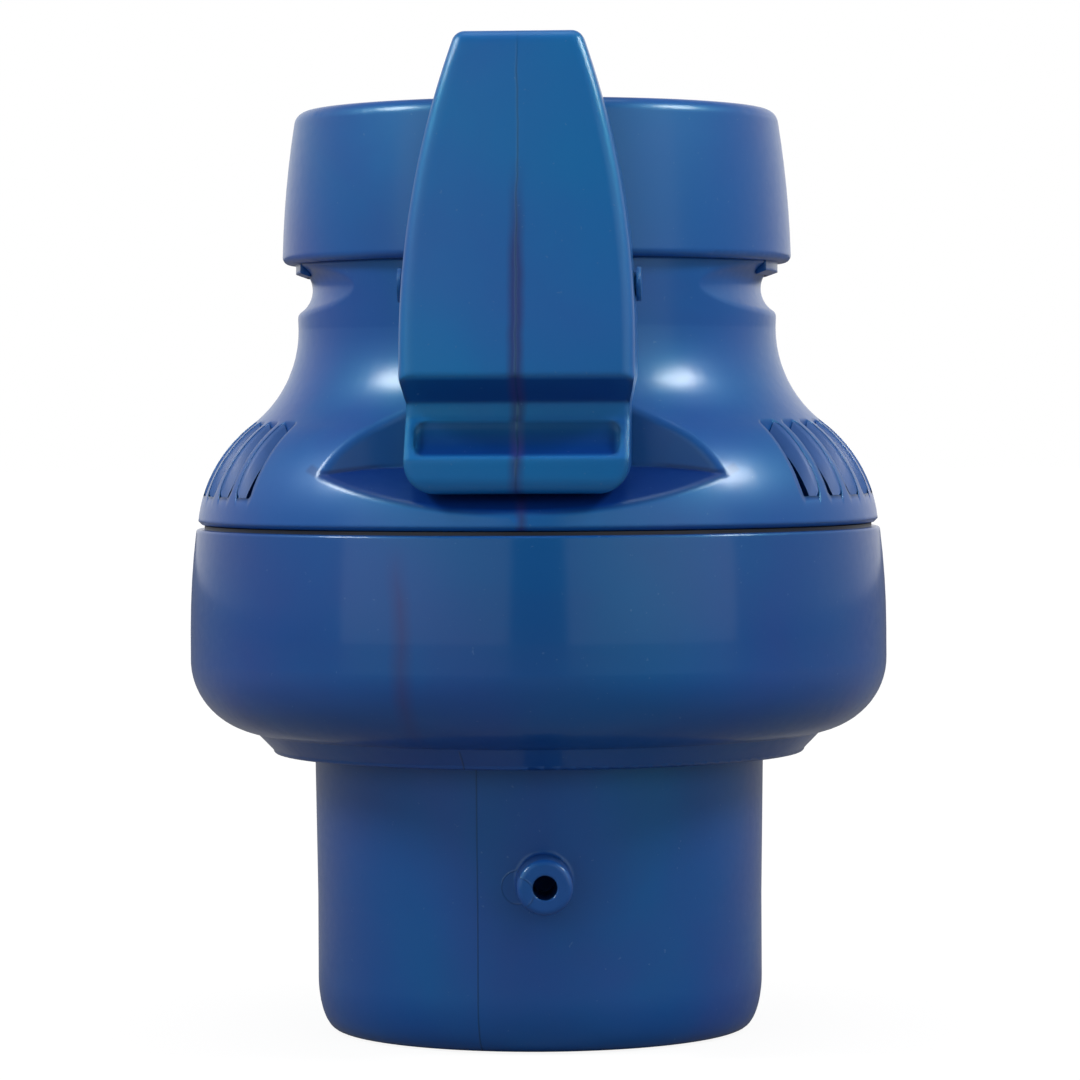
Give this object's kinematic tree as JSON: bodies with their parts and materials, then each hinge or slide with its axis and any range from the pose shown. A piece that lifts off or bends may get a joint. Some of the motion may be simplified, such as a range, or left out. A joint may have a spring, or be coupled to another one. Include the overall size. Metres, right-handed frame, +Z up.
{
  "type": "flow regulator valve",
  "caption": "Suction flow regulator valve for a pool skimmer: drum with outlet spigot, vented flared neck, hose collar and a sprung hand lever, in blue plastic.",
  "frame": {"origin": "centre of the outlet spigot's bottom face", "axes": "+Z up along the flow axis to the hose inlet; the hand lever is on the -Y side"},
  "size_m": [0.0944, 0.0944, 0.1321],
  "materials": {
    "drum_blue": "polished moulded plastic, deep blue",
    "shell_blue": "polished moulded plastic, blue",
    "lever_blue": "polished moulded plastic, lighter blue",
    "inner_blue": "plain moulded",
    "inner_grey": "plain moulded",
    "ring_dark": "low-friction plastic",
    "seal_black": "matt rubber",
    "steel": "drawn stainless wire and screws"
  },
  "bodies": {
    "lower": {"lower_body": "drum_blue", "seam_ring": "ring_dark", "foot_gasket": "seal_black", "flow_tube": "inner_grey", "tube_seal": "seal_black", "spring_washer": "steel", "regulator_spring": "steel", "seat_plate": "inner_grey", "seat_seal": "seal_black", "seat_screws": "steel"},
    "valve": {"valve_ring": "inner_blue", "valve_bush": "ring_dark", "valve_seal": "seal_black"},
    "upper": {"upper_housing": "shell_blue", "housing_seal": "seal_black", "socket_liner": "inner_blue", "cuff_seal": "seal_black", "inlet_collar": "shell_blue", "lever_pin": "lever_blue", "pin_clip": "lever_blue", "lever_spring": "steel"},
    "lever": {"hand_lever": "lever_blue"}
  },
  "joints": [
    {"name": "housing_swivel", "type": "hinge", "parent": "lower", "child": "upper", "pos_m": [0, 0, 0.068], "axis": [0, 0, 1], "continuous": true},
    {"name": "valve_travel", "type": "slide", "parent": "lower", "child": "valve", "axis": [0, 0, -1], "range_m": [0, 0.004], "stiffness_N_per_m": 500, "springref_m": -0.02, "deforming": ["regulator_spring"]},
    {"name": "lever_press", "type": "hinge", "parent": "upper", "child": "lever", "pos_m": [0, -0.0375, 0.09965], "axis": [1, 0, 0], "range_deg": [0, 4], "stiffness_Nm_per_rad": 0.5, "springref_deg": -11.46}
  ]
}
